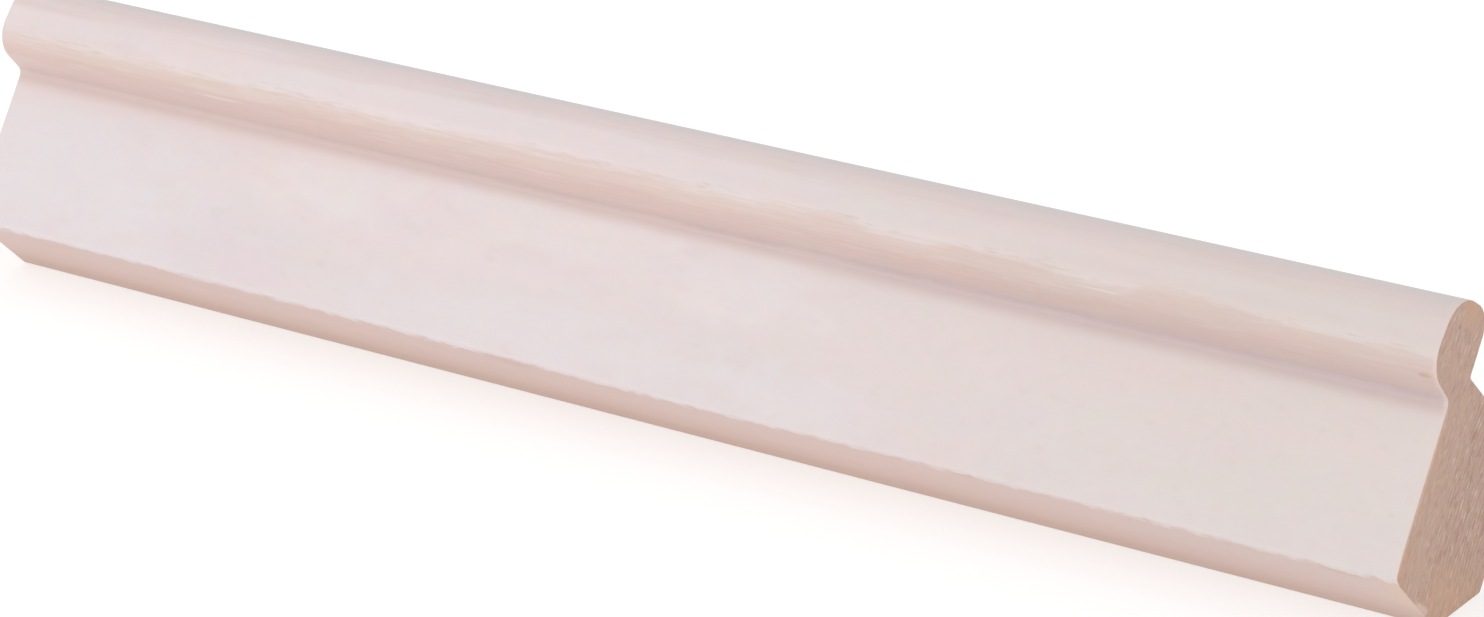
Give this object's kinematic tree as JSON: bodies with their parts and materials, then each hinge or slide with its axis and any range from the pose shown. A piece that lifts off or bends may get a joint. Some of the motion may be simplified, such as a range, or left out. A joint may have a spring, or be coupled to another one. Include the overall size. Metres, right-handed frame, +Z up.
{
  "type": "corner moulding",
  "caption": "Short length of white stained pine corner moulding with a flat face, a round bead along the top, a rebate behind the bead, a bevelled back and square sawn ends.",
  "frame": {"origin": "centre of the bounding box's base, on the ground plane that the lower back bevel stands on", "axes": "+X along the length, towards the end that is nearer in the picture; +Y to the back, away from the flat face; +Z up as the moulding stands on its lower back bevel, with the bead on top"},
  "size_m": [0.26, 0.0354, 0.0452],
  "materials": {
    "white_stained_pine": "satin white stain on planed pine, raw sawn ends"
  },
  "bodies": {
    "root": {"corner_moulding": "white_stained_pine"}
  },
  "joints": []
}
